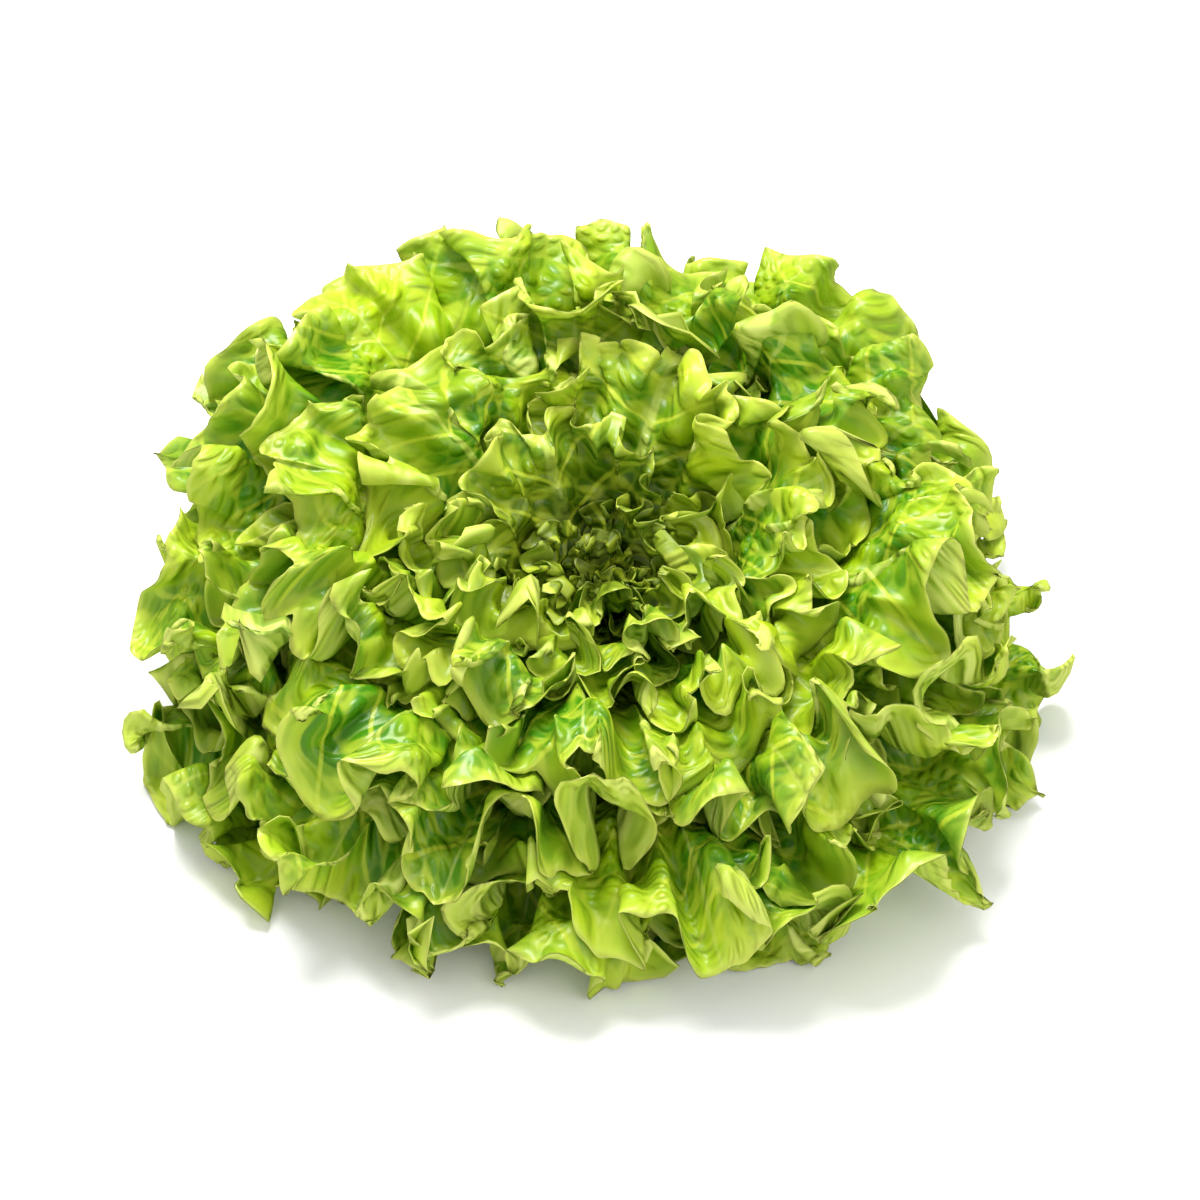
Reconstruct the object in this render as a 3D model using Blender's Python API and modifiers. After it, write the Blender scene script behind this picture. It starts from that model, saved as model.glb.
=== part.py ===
# Head of batavia lettuce, standing on its cut stem.
# Frilled leaves grow round the stem in a golden-angle spiral, the oldest lying on the surface and the
# youngest standing round a heart of small leaves. Each leaf is one thin closed blade with a thick rib.
# Metres, with angles in degrees where a name says so. +Z is up, and the origin is the centre of the
# stem's cut face. The head leans a little towards -Y, which opens the heart to that side.

import math

import bmesh
import bpy
import numpy as np

# Driving dimensions of the head
LEAF_COUNT = 44
SEED = 4
GOLDEN_DEG = 137.508
FIRST_LEAF_DEG = -62.0
HEAD_LEAN_DEG = 13.0
LEANS_FROM_STAGE = 0.45

# How far the head spreads at every 45 degrees round it, from +X
FULLNESS = (0.96, 1.01, 1.0, 1.08, 1.02, 1.04, 0.98, 1.03)

# The stem is a ball cut flat at the bottom, and every leaf spreads from the ball's centre
STEM_RADIUS = 0.0190
STEM_CENTRE_Z = 0.0140
STEM_STEPS = 24
STEM_ARC_POINTS = 9
GAP_TO_STEM = 0.0004

# How the leaves change from the oldest, at stage 0, to the youngest, at stage 1
STAGE = (0.0, 0.2, 0.4, 0.6, 0.75, 0.85, 0.93, 1.0)
TIP_DEG = (-4.0, 14.0, 30.0, 44.0, 53.0, 60.0, 65.0, 69.0)
BASE_DEG = (8.0, 24.0, 40.0, 53.0, 61.0, 66.0, 69.5, 73.0)
REACH = (0.152, 0.155, 0.150, 0.137, 0.117, 0.091, 0.066, 0.046)
RUFFLE = (0.0120, 0.0120, 0.0115, 0.0105, 0.0085, 0.0062, 0.0042, 0.0028)
RIB_THICKNESS = (0.0028, 0.0026, 0.0023, 0.0019, 0.0015, 0.0012, 0.0010, 0.0009)
BASE_HALF_WIDTH = (0.0075, 0.0072, 0.0068, 0.0060, 0.0050, 0.0042, 0.0034, 0.0028)

# How much one leaf differs from the next
TURN_SPREAD_DEG = 5.0
TILT_SPREAD_DEG = 4.0
SIZE_RANGE = (0.9, 1.04)
WAVE_RANGE = (0.35, 1.3)
CURL_DROP = (0.002, 0.012)

# The flattened blade is a fan of rays from the foot of the rib, waved more and more towards its margin
FAN_HALF_DEG = 52.0
SIDE_SHORTENING = 0.38
LOBE_DEPTH = 0.13
COLUMNS = 14
COLUMN_UNEVENNESS = 0.28
ROW_SHARES = (0.0, 0.34, 0.62, 0.83, 1.0)
BLADE_THICKNESS = 0.0009
RIB_HALF_WIDTH = 0.22
RUFFLE_STARTS_AT = 0.30
RUFFLE_GROWTH = 1.5
SIDE_RUFFLE_LOSS = 0.3
CUP_HEIGHT = 0.007
CURL_STARTS_AT = 0.68
PROFILE_POWER = 1.3

# Where the leaves are pressed apart, as they are in a packed head
CLEARANCE = 0.0010
MOST_STEEPNESS = 2.6
FLOOR_CLEARANCE = 0.0006
HEART_CONE_DEG = 15.5
PRESSING_ROUNDS = 560
SMOOTHED_ROUNDS = 340
PRESSING_PACE = 1.3
SMOOTHING_PACE = 0.12

# The heart is a small cone with curled leaves standing out of it, from the outermost to the innermost
HEART_LEAVES = 6
HEART_COLUMNS = 8
HEART_ROWS = 3
HEART_HALF_DEG = 72.0
HEART_FOOT_RADIUS = (0.0034, 0.0008)
HEART_RIM_RADIUS = (0.0090, 0.0018)
HEART_LEAF_HEIGHT = (0.0230, 0.0170)
HEART_BLADE_START = 0.0020
HEART_BLADE_THICKNESS = 0.0008
HEART_WAVE = 0.0010
HEART_LOBES = (0.82, 1.0)
HEART_CORE_OUTLINE = ((0.0, 0.0120), (0.0022, 0.0102), (0.0043, 0.0010), (0.0040, 0.0), (0.0, 0.0))
HEART_CORE_STEPS = 14

# Colours as linear red, green and blue
OUTER_COLOUR = (0.16, 0.36, 0.035)
MIDDLE_COLOUR = (0.22, 0.45, 0.035)
INNER_COLOUR = (0.30, 0.52, 0.045)
HEART_COLOUR = (0.30, 0.46, 0.07)
STEM_COLOUR = (0.68, 0.74, 0.46)
LEAF_ROUGHNESS = 0.5
STEM_ROUGHNESS = 0.6


def at_stage(values, stage):
    return np.interp(stage, STAGE, values)


def finish(name, colour, roughness):
    """One material of the head."""
    material = bpy.data.materials.new(name)
    material.use_nodes = True
    shader = material.node_tree.nodes["Principled BSDF"]
    shader.inputs["Base Color"].default_value = (*colour, 1.0)
    shader.inputs["Roughness"].default_value = roughness
    material.diffuse_color = (*colour, 1.0)
    return material


def triangulated_grid(columns, rows):
    """A flat grid of two units a side, split into triangles."""
    grid = bmesh.new()
    bmesh.ops.create_grid(grid, x_segments=columns, y_segments=rows, size=1.0)
    bmesh.ops.triangulate(grid, faces=grid.faces, quad_method="ALTERNATE")
    return grid


class Blade:
    """The grid that every leaf is bent from: its mesh, the column and row of each corner, and its faces."""

    def __init__(self):
        rows = len(ROW_SHARES) - 1
        grid = triangulated_grid(COLUMNS, rows)
        self.column = np.array([round((corner.co.x + 1) / 2 * COLUMNS) for corner in grid.verts])
        self.row = np.array([round((corner.co.y + 1) / 2 * rows) for corner in grid.verts])
        self.triangles = np.array([[corner.index for corner in face.verts] for face in grid.faces])
        self.edges = np.array([[corner.index for corner in edge.verts] for edge in grid.edges])
        self.mesh = bpy.data.meshes.new("blade")
        grid.to_mesh(self.mesh)
        grid.free()


class Leaf:
    """One leaf: distance, azimuth and elevation of its corners from the stem's centre, and its thickness."""

    def __init__(self, number, blade):
        draw = np.random.default_rng([SEED, number])
        self.stage = number / (LEAF_COUNT - 1)
        turn = FIRST_LEAF_DEG + number * GOLDEN_DEG + draw.uniform(-TURN_SPREAD_DEG, TURN_SPREAD_DEG)
        shift = draw.uniform(-COLUMN_UNEVENNESS, COLUMN_UNEVENNESS, COLUMNS + 1)
        shift[[0, -1]] = 0
        across = (2 * (np.arange(COLUMNS + 1) + shift) / COLUMNS - 1)[blade.column]
        along = np.take(ROW_SHARES, blade.row)
        lobes = 1 - LOBE_DEPTH * draw.uniform(0, 1, COLUMNS + 1)
        waves = draw.uniform(*WAVE_RANGE, COLUMNS + 1) * (-1.0) ** (np.arange(COLUMNS + 1) + draw.integers(2))
        tilt = draw.uniform(-TILT_SPREAD_DEG, TILT_SPREAD_DEG)
        curl = draw.uniform(*CURL_DROP)
        fullness = np.interp(turn % 360, np.arange(9) * 45, (*FULLNESS, FULLNESS[0]))
        size = draw.uniform(*SIZE_RANGE) * fullness
        self.spread(math.radians(turn), across, along, lobes[blade.column], size)
        self.raise_blade(across, along, waves[blade.column], math.radians(tilt), curl)
        rib = np.exp(-((across / RIB_HALF_WIDTH) ** 2)) * (1 - along) ** 0.6
        self.thickness = BLADE_THICKNESS + (at_stage(RIB_THICKNESS, self.stage) - BLADE_THICKNESS) * rib

    def spread(self, turn, across, along, lobes, size):
        """The flat fan, wrapped round a cone of the leaf's own steepness."""
        foot = STEM_RADIUS + GAP_TO_STEM
        self.length = at_stage(REACH, self.stage) * size - foot
        ray = np.radians(FAN_HALF_DEG) * across
        reach = self.length * (1 - SIDE_SHORTENING * across**2) * along * (1 + (lobes - 1) * along)
        self.side = at_stage(BASE_HALF_WIDTH, self.stage) * across * (1 - along) + reach * np.sin(ray)
        forward = foot + reach * np.cos(ray)
        self.distance = np.hypot(self.side, forward)
        low, high = at_stage(BASE_DEG, self.stage), at_stage(TIP_DEG, self.stage)
        share = (self.distance - foot) / self.length
        self.elevation = np.radians(low + (high - low) * share**PROFILE_POWER)
        self.azimuth = turn + np.arctan2(self.side, forward) / np.cos(self.elevation)

    def raise_blade(self, across, along, waves, tilt, curl):
        """Level bottom leaves, cup, outward curl and the margin's ruffles, all as changes of elevation."""
        leaning = min(self.stage / LEANS_FROM_STAGE, 1)
        self.elevation -= math.radians(HEAD_LEAN_DEG) * (1 - leaning) * np.sin(self.azimuth)
        self.elevation += tilt * leaning
        cup = CUP_HEIGHT * (self.side / self.length * 2) ** 2
        curled = curl * np.clip((along - CURL_STARTS_AT) / (1 - CURL_STARTS_AT), 0, None) ** 2
        grown = np.clip((along - RUFFLE_STARTS_AT) / (1 - RUFFLE_STARTS_AT), 0, None) ** RUFFLE_GROWTH
        ruffle = at_stage(RUFFLE, self.stage) * grown * waves * (1 - SIDE_RUFFLE_LOSS * across**2)
        self.elevation += (cup - curled + ruffle) / self.distance

    def plan(self):
        """The leaf spread flat, with distance as the radius and azimuth as the angle."""
        return self.distance[:, None] * np.stack([np.cos(self.azimuth), np.sin(self.azimuth)], 1)

    def corners(self):
        """The corners in the growth frame, round the stem's centre."""
        level = self.distance * np.cos(self.elevation)
        height = self.distance * np.sin(self.elevation)
        return np.stack([level * np.cos(self.azimuth), level * np.sin(self.azimuth), height], 1)

    def steepness(self, triangles):
        """How much more a sloping blade takes up in elevation than its own thickness."""
        plan = self.plan()
        a, b, c = (plan[triangles[:, k]] for k in range(3))
        low, middle, high = (self.elevation[triangles[:, k]] for k in range(3))
        rise = (middle - low)[:, None] * (c - a)[:, ::-1] - (high - low)[:, None] * (b - a)[:, ::-1]
        rise *= np.array([1.0, -1.0]) / crossed(b - a, c - a)[:, None]
        centre = (a + b + c) / 3
        radius = np.hypot(*centre.T)
        outward = centre / radius[:, None]
        slope_out = radius * (rise * outward).sum(1)
        slope_round = radius * crossed(outward, rise) / np.cos((low + middle + high) / 3)
        factor = np.repeat(np.sqrt(1 + slope_out**2 + slope_round**2), 3)
        mean = np.bincount(triangles.ravel(), factor) / np.bincount(triangles.ravel())
        return np.clip(mean, 1, MOST_STEEPNESS)


def crossed(first, second):
    return first[..., 0] * second[..., 1] - first[..., 1] * second[..., 0]


def corners_over(plan, triangles, other):
    """Where the other leaf's corners lie in this leaf's triangles, in the plan."""
    a, b, c = (plan[triangles[:, k]] for k in range(3))
    area = crossed(b - a, c - a)
    offset = other[:, None, :] - a[None, :, :]
    second = crossed(offset, c - a) / area
    third = crossed(b - a, offset) / area
    corner, triangle = np.nonzero((second >= 0) & (third >= 0) & (second + third <= 1))
    second, third = second[corner, triangle], third[corner, triangle]
    corner_shares = np.tile([1.0, 0.0, 0.0], (len(corner), 1))
    shares = np.stack([1 - second - third, second, third], 1)
    return np.stack([corner] * 3, 1), corner_shares, triangles[triangle], shares


def edges_across(plan, edges, other):
    """Where the other leaf's edges cross this leaf's edges, in the plan."""
    here, there = plan[edges], other[edges]
    run, run_there = here[:, 1] - here[:, 0], there[:, 1] - there[:, 0]
    offset = here[None, :, 0] - there[:, None, 0]
    turn = crossed(run_there[:, None], run[None])
    with np.errstate(divide="ignore", invalid="ignore"):
        share_there = crossed(offset, run[None]) / turn
        share = crossed(offset, run_there[:, None]) / turn
    inside = (share_there > 0) & (share_there < 1) & (share > 0) & (share < 1)
    edge_there, edge = np.nonzero(inside)
    share_there, share = share_there[inside], share[inside]
    none = np.zeros(len(share))
    shares_there = np.stack([1 - share_there, share_there, none], 1)
    shares = np.stack([1 - share, share, none], 1)
    return edges[edge_there][:, [0, 1, 1]], shares_there, edges[edge][:, [0, 1, 1]], shares


def contacts_of(leaves, blade):
    """Every place where two leaves could touch, as corners and shares on both, and which one is above.

    What lies at the same point of the plan is ordered by elevation alone, and flat triangles come
    closest at a corner of one of them or where two edges cross."""
    count = len(blade.column)
    plans = [leaf.plan() for leaf in leaves]
    found = []
    for older, plan in enumerate(plans):
        for younger in range(older + 1, len(plans)):
            other = plans[younger]
            over = [corners_over(plan, blade.triangles, other), edges_across(plan, blade.edges, other)]
            for upper, upper_shares, lower, lower_shares in over:
                found.append((upper + younger * count, upper_shares, lower + older * count, lower_shares))
            lower, lower_shares, upper, upper_shares = corners_over(other, blade.triangles, plan)
            found.append((upper + younger * count, upper_shares, lower + older * count, lower_shares))
    return [np.concatenate(part) for part in zip(*found)]


def lowest_elevation(azimuth, distance, thickness):
    """The elevation at which a blade would lie on the surface, with the growth frame leaning."""
    lean = math.radians(HEAD_LEAN_DEG)
    upright, sideways = math.cos(lean), math.sin(lean) * np.sin(azimuth)
    drop = (thickness / 2 + FLOOR_CLEARANCE - STEM_CENTRE_Z) / distance
    return np.arcsin(drop / np.hypot(upright, sideways)) - np.arctan2(sideways, upright)


def along_chord(shares, distance):
    """Shares that give the elevation of a point on a straight chord between corners at these distances."""
    weighted = shares * distance
    return weighted / weighted.sum(1, keepdims=True)


def press_apart(leaves, blade):
    """Moves corners up or down, together with their neighbours, until each leaf clears the older ones."""
    count = len(blade.column)
    distance, thickness, azimuth, wanted = (
        np.concatenate([getattr(leaf, name) for leaf in leaves])
        for name in ("distance", "thickness", "azimuth", "elevation")
    )
    half = thickness / 2 * np.concatenate([leaf.steepness(blade.triangles) for leaf in leaves])
    upper, upper_shares, lower, lower_shares = contacts_of(leaves, blade)
    apart = (half[upper] * upper_shares).sum(1) + (half[lower] * lower_shares).sum(1) + CLEARANCE
    reached = (distance[upper] * upper_shares).sum(1)
    upper_shares = along_chord(upper_shares, distance[upper])
    lower_shares = along_chord(lower_shares, distance[lower])
    weight = (upper_shares**2).sum(1) + (lower_shares**2).sum(1)
    touched = np.concatenate([upper, lower]).ravel()
    shares = np.concatenate([upper_shares, lower_shares])
    edges = np.concatenate([blade.edges + i * count for i in range(len(leaves))])
    neighbours = np.bincount(edges.ravel())
    floor = lowest_elevation(azimuth, distance, thickness)
    ceiling = math.radians(90 - HEART_CONE_DEG)
    elevation = wanted.copy()
    for turn in range(PRESSING_ROUNDS):
        rise = (elevation[upper] * upper_shares).sum(1) - (elevation[lower] * lower_shares).sum(1)
        lack = np.clip(apart / reached - rise, 0, None)
        push = lack / weight
        moves = np.concatenate([push, -push])[:, None] * shares
        pushed = np.concatenate([lack > 0, lack > 0])[:, None] * shares
        total = np.bincount(touched, moves.ravel(), len(wanted))
        number = np.bincount(touched, pushed.ravel(), len(wanted))
        elevation += PRESSING_PACE * total / np.maximum(number, 1)
        if turn < SMOOTHED_ROUNDS:
            change = elevation - wanted
            near = np.bincount(edges[:, 0], change[edges[:, 1]], len(wanted))
            near += np.bincount(edges[:, 1], change[edges[:, 0]], len(wanted))
            elevation += SMOOTHING_PACE * (near / neighbours - change)
        elevation = np.clip(elevation, floor, ceiling)
    short = lack * reached
    print(f"{len(short)} contacts between leaves, the tightest lacks {short.max() * 1000:.2f} mm")
    for i, leaf in enumerate(leaves):
        leaf.elevation = elevation[i * count:(i + 1) * count]


def lean_with_head(piece):
    """Sets a piece that was drawn round the stem's centre to the leaning growth frame."""
    piece.location = (0.0, 0.0, STEM_CENTRE_Z)
    piece.rotation_euler = (math.radians(HEAD_LEAN_DEG), 0.0, 0.0)


def thicken(piece, thickness):
    shell = piece.modifiers.new("thickness", "SOLIDIFY")
    shell.thickness = thickness
    shell.offset = 0.0
    return shell


def leaf_object(name, leaf, blade, material, collection):
    """A closed leaf: the blade's grid at the leaf's corners, thickened evenly to both sides."""
    mesh = blade.mesh.copy()
    mesh.name = name
    mesh.vertices.foreach_set("co", leaf.corners().ravel())
    mesh.materials.append(material)
    piece = bpy.data.objects.new(name, mesh)
    collection.objects.link(piece)
    lean_with_head(piece)
    group = piece.vertex_groups.new(name="thickness")
    for index, share in enumerate(leaf.thickness / leaf.thickness.max()):
        group.add([index], float(share), "REPLACE")
    thicken(piece, float(leaf.thickness.max())).vertex_group = group.name


def turned_object(name, outline, steps, material, collection):
    """A solid turned round Z from its outline, given from the top down."""
    mesh = bpy.data.meshes.new(name)
    mesh.from_pydata([(x, 0.0, z) for x, z in outline], [(i, i + 1) for i in range(len(outline) - 1)], [])
    mesh.materials.append(material)
    piece = bpy.data.objects.new(name, mesh)
    collection.objects.link(piece)
    screw = piece.modifiers.new("turned", "SCREW")
    screw.steps = screw.render_steps = steps
    screw.use_merge_vertices = True
    screw.merge_threshold = 0.00001
    return piece


def stem_object(material, collection):
    """A ball with a flat cut at the bottom."""
    cut = math.asin(-STEM_CENTRE_Z / STEM_RADIUS)
    angles = np.linspace(math.pi / 2, cut, STEM_ARC_POINTS)[1:]
    side = [(STEM_RADIUS * math.cos(a), STEM_CENTRE_Z + STEM_RADIUS * math.sin(a)) for a in angles]
    outline = [(0.0, STEM_CENTRE_Z + STEM_RADIUS), *side, (0.0, 0.0)]
    return turned_object("stem", outline, STEM_STEPS, material, collection)


def heart_blade(number, material, collection):
    """A small leaf that is curled round the axis and flares towards its waved tip."""
    draw = np.random.default_rng([SEED, LEAF_COUNT + number])
    inner = number / (HEART_LEAVES - 1)
    foot, rim, height = (
        np.interp(inner, (0, 1), ends) for ends in (HEART_FOOT_RADIUS, HEART_RIM_RADIUS, HEART_LEAF_HEIGHT)
    )
    waves = draw.uniform(0.5, 1.2, HEART_COLUMNS + 1) * (-1.0) ** np.arange(HEART_COLUMNS + 1)
    lobes = draw.uniform(*HEART_LOBES, HEART_COLUMNS + 1)
    grid = triangulated_grid(HEART_COLUMNS, HEART_ROWS)
    for corner in grid.verts:
        column = round((corner.co.x + 1) / 2 * HEART_COLUMNS)
        up = (corner.co.y + 1) / 2
        turn = math.radians(number * GOLDEN_DEG + HEART_HALF_DEG * corner.co.x)
        radius = foot + (rim - foot) * up**1.4 + HEART_WAVE * waves[column] * up**2
        rise = STEM_RADIUS + HEART_BLADE_START + height * up * lobes[column]
        corner.co = (radius * math.cos(turn), radius * math.sin(turn), rise)
    mesh = bpy.data.meshes.new(f"heart_leaf_{number + 1}")
    grid.to_mesh(mesh)
    grid.free()
    mesh.materials.append(material)
    piece = bpy.data.objects.new(mesh.name, mesh)
    collection.objects.link(piece)
    piece.hide_render = True
    piece.display_type = "WIRE"
    lean_with_head(piece)
    thicken(piece, HEART_BLADE_THICKNESS)


def keep_largest_body(mesh):
    """Fills the hollows that joining has sealed and drops loose scraps."""
    shape = bmesh.new()
    shape.from_mesh(mesh)
    bodies = []
    unseen = set(shape.faces)
    while unseen:
        body = {unseen.pop()}
        front = list(body)
        while front:
            edges = [edge for edge in front.pop().edges if len(edge.link_faces) == 2]
            near = {face for edge in edges for face in edge.link_faces} - body
            body |= near
            front += near
        unseen -= body
        bodies.append(body)
    bodies.sort(key=len)
    loose = [face for body in bodies[:-1] for face in body]
    bmesh.ops.delete(shape, geom=loose, context="FACES")
    shape.to_mesh(mesh)
    shape.free()


def heart_object(material, collection):
    """The core of the heart, with its small leaves joined to it."""
    bottom = STEM_RADIUS + GAP_TO_STEM
    outline = [(radius, bottom + height) for radius, height in HEART_CORE_OUTLINE]
    heart = turned_object("heart", outline, HEART_CORE_STEPS, material, collection)
    lean_with_head(heart)
    joined = bpy.data.collections.new("heart_leaves")
    bpy.context.scene.collection.children.link(joined)
    for number in range(HEART_LEAVES):
        heart_blade(number, material, joined)
    join = heart.modifiers.new("leaves", "BOOLEAN")
    join.operation = "UNION"
    join.solver = "EXACT"
    join.operand_type = "COLLECTION"
    join.collection = joined
    whole = heart.evaluated_get(bpy.context.evaluated_depsgraph_get())
    mesh = bpy.data.meshes.new_from_object(whole)
    keep_largest_body(mesh)
    heart.modifiers.clear()
    heart.data = mesh
    for piece in list(joined.objects):
        bpy.data.objects.remove(piece)
    bpy.data.collections.remove(joined)


def main():
    for old in list(bpy.data.objects):
        bpy.data.objects.remove(old)
    head = bpy.data.collections.new("batavia_lettuce")
    bpy.context.scene.collection.children.link(head)
    stem_object(finish("stem", STEM_COLOUR, STEM_ROUGHNESS), head)
    heart_object(finish("heart_leaf", HEART_COLOUR, LEAF_ROUGHNESS), head)
    materials = [
        finish("outer_leaf", OUTER_COLOUR, LEAF_ROUGHNESS),
        finish("middle_leaf", MIDDLE_COLOUR, LEAF_ROUGHNESS),
        finish("inner_leaf", INNER_COLOUR, LEAF_ROUGHNESS),
    ]
    blade = Blade()
    leaves = [Leaf(number, blade) for number in range(LEAF_COUNT)]
    press_apart(leaves, blade)
    for number, leaf in enumerate(leaves):
        material = materials[number * len(materials) // LEAF_COUNT]
        leaf_object(f"leaf_{number + 1:02d}", leaf, blade, material, head)
    bpy.data.meshes.remove(blade.mesh)


main()
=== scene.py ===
import math

import bpy
import numpy as np
from mathutils import Matrix


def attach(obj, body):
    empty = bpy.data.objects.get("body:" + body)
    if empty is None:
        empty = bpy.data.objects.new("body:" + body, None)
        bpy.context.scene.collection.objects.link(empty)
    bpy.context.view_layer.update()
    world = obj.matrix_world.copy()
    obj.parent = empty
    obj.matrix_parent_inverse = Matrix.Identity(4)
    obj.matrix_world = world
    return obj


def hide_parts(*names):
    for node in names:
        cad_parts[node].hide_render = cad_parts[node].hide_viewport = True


# Batavia lettuce: finer leaves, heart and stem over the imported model, with living-leaf materials,
# on a pale floor in soft studio light. Metres, +Z up, and the origin is the centre of the cut stem.

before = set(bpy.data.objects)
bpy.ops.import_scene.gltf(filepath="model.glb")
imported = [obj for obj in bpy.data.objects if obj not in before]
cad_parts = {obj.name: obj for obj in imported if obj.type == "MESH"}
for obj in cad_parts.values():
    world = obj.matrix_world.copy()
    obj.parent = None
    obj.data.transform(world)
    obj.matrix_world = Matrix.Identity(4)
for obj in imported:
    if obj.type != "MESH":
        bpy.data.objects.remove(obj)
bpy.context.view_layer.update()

# The head's plan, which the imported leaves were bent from. Angles in degrees. Tuples as long as "stages" go
# from the oldest leaf to the youngest, and "fullness" goes round the head in even steps from +X
head = {
    "seed": 4,
    "leaves": 44,
    "goldenAngle": 137.508,
    "firstLeaf": -62.0,
    "lean": 13.0,
    "stemRadius": 0.0190,
    "stemCentre": 0.0140,
    "gapToStem": 0.0004,
    "fullness": (0.96, 1.01, 1.0, 1.08, 1.02, 1.04, 0.98, 1.03),
    "stages": (0.0, 0.2, 0.4, 0.6, 0.75, 0.85, 0.93, 1.0),
    "tipElevation": (-4.0, 14.0, 30.0, 44.0, 53.0, 60.0, 65.0, 69.0),
    "footElevation": (8.0, 24.0, 40.0, 53.0, 61.0, 66.0, 69.5, 73.0),
    "reach": (0.152, 0.155, 0.150, 0.137, 0.117, 0.091, 0.066, 0.046),
    "ruffle": (0.0120, 0.0120, 0.0115, 0.0105, 0.0085, 0.0062, 0.0042, 0.0028),
    "footHalfWidth": (0.0075, 0.0072, 0.0068, 0.0060, 0.0050, 0.0042, 0.0034, 0.0028),
    "ribThickness": (0.0028, 0.0026, 0.0023, 0.0019, 0.0015, 0.0012, 0.0010, 0.0009),
    "turnSpread": 5.0,
    "sizes": (0.9, 1.04),
    "waves": (0.35, 1.3),
    "fanHalf": 52.0,
    "sideShortening": 0.38,
    "lobeDepth": 0.13,
    "columns": 14,
    "unevenness": 0.28,
    "rows": (0.0, 0.34, 0.62, 0.83, 1.0),
    "profilePower": 1.3,
}

# What the fine leaves add. Places along a leaf run from 0 at its foot to 1 at its margin, and places across it
# from -1 to 1. "atStages" goes with the tuples of five
fine = {
    "seedStart": 1000,
    "atStages": (0.0, 0.5, 0.7, 0.85, 1.0),
    "wideColumns": (122, 122, 105, 78, 52),
    "lines": (27, 27, 26, 24, 20),
    "lineShares": (0.0, 0.18, 0.62, 0.85, 1.0),
    "lineAlong": (0.0, 0.36, 0.78, 0.935, 1.0),
    "split": 3,
    "splitFrom": 0.62,
    "evenSpacing": 0.75,
    "marginSamples": 1601,
    "marginLine": 0.92,
    "cornerFrom": 0.72,
    "cornerCut": 0.65,
    "cornerRound": 0.99,
    "waveFrom": 0.5,
    "waveShare": 0.30,
    "frillCycles": (5.0, 9.5),
    "frillShare": (0.20, 0.22, 0.28, 0.36, 0.42),
    "frillFrom": 0.55,
    "frillPower": 1.3,
    "curlCycles": (26.0, 44.0),
    "curlShare": 0.04,
    "curlFrom": 0.8,
    "meander": (0.6, 1.15),
    "toothCycles": (38.0, 70.0),
    "toothTerms": 4,
    "toothDepth": 0.0022,
    "toothFrom": 0.86,
    "toothedLength": 0.13,
    "scallopCycles": (7.0, 15.0),
    "scallopDepth": 0.022,
    "scallopFrom": 0.7,
    "ridgeBend": 0.10,
    "ridgeCycles": (2.0, 5.0),
    "rolls": (3, 6),
    "rollWidth": (0.14, 0.34),
    "rollAngle": (35.0, 105.0),
    "rollInward": 0.55,
    "inwardShare": 0.75,
    "rollInwardBehind": 0.10,
    "rollCentre": 0.75,
    "rollStrip": (0.012, 0.022),
    "rollStripMost": 0.3,
    "youngRollStages": (0.7, 0.95),
    "youngRollShares": (1, 0.5),
    "meanLobe": 0.93,
    "swells": 8,
    "swellLength": (0.014, 0.036),
    "swellShares": (0.3, 0.7),
    "swellHeight": 0.0026,
    "swellRise": (0.05, 0.4),
    "swollenLength": 0.11,
    "blade": 0.00042,
    "rim": 0.00026,
    "rimStrip": 0.04,
    "marginBand": 0.010,
}

# Blisters between the veins, strong in patches, and the rib, thick at the foot
blisters = {
    "height": 0.0018,
    "level": 0.35,
    "cellEdges": (-1.1, 2.7),
    "rise": (0.06, 0.22),
    "fade": (0.86, 1.0),
    "fadeShare": 0.75,
    "patchWaves": ((90, 60, 60), (-50, 110, 90)),
    "patchLeast": 0.35,
    "leafShares": (0.5, 1.0),
    "fullLength": 0.08,
}
rib = {
    "width": 0.0020,
    "footWidth": 0.0036,
    "flattening": 0.75,
    "power": 0.8,
    "footing": 0.12,
    "above": 0.15,
    "aboveFoot": 0.3,
    "below": 0.75,
}

# Where leaves are pressed apart over a plan of the head. Blurs in pixels, the heart's cone in degrees
pressing = {
    "pixel": 0.0008,
    "halfSize": 0.170,
    "between": 2,
    "gap": 0.0010,
    "floor": 0.0011,
    "heartCone": 14.0,
    "mostMove": 0.006,
    "blurs": (7.0, 4.0, 2.5, 1.5),
    "bellReach": 2.5,
}
rasterSize = int(2 * pressing["halfSize"] / pressing["pixel"])
topElevation = math.radians(90 - pressing["heartCone"])

# The network of veins: a hexagonal net bent by waves. Its cell is in metres. A bend is an amount, two wave
# numbers and a phase
network = {
    "cell": 0.0130,
    "bendsAcross": ((0.30, 0.5, 1.3, 0.4), (0.14, -1.7, 1.4, 2.0), (0.07, 3.3, 2.1, 0.5)),
    "bendsAlong": ((0.30, 1.2, -0.7, 1.1), (0.14, 1.5, 1.8, 4.2), (0.07, -2.3, 3.1, 3.0)),
    "sidewaysOfLeaf": 37.0,
}

# The UV map of every piece counts in tenths of a metre
planeUnit = 0.1


# A value of the head's plan at a stage, straight between the stages that it is given for
def atStage(name, stage):
    return np.interp(stage, head["stages"], head[name])


# The same for the fine leaves' own stages
def fineAtStage(name, stage):
    return np.interp(stage, fine["atStages"], fine[name])


# Growth frame to world: a turn by the head's lean about X, then up to the stem's centre
def toWorld(points):
    lean = math.radians(head["lean"])
    turn = np.array([[1, 0, 0], [0, math.cos(lean), math.sin(lean)], [0, -math.sin(lean), math.cos(lean)]])
    return points @ turn + [0, 0, head["stemCentre"]]


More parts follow.
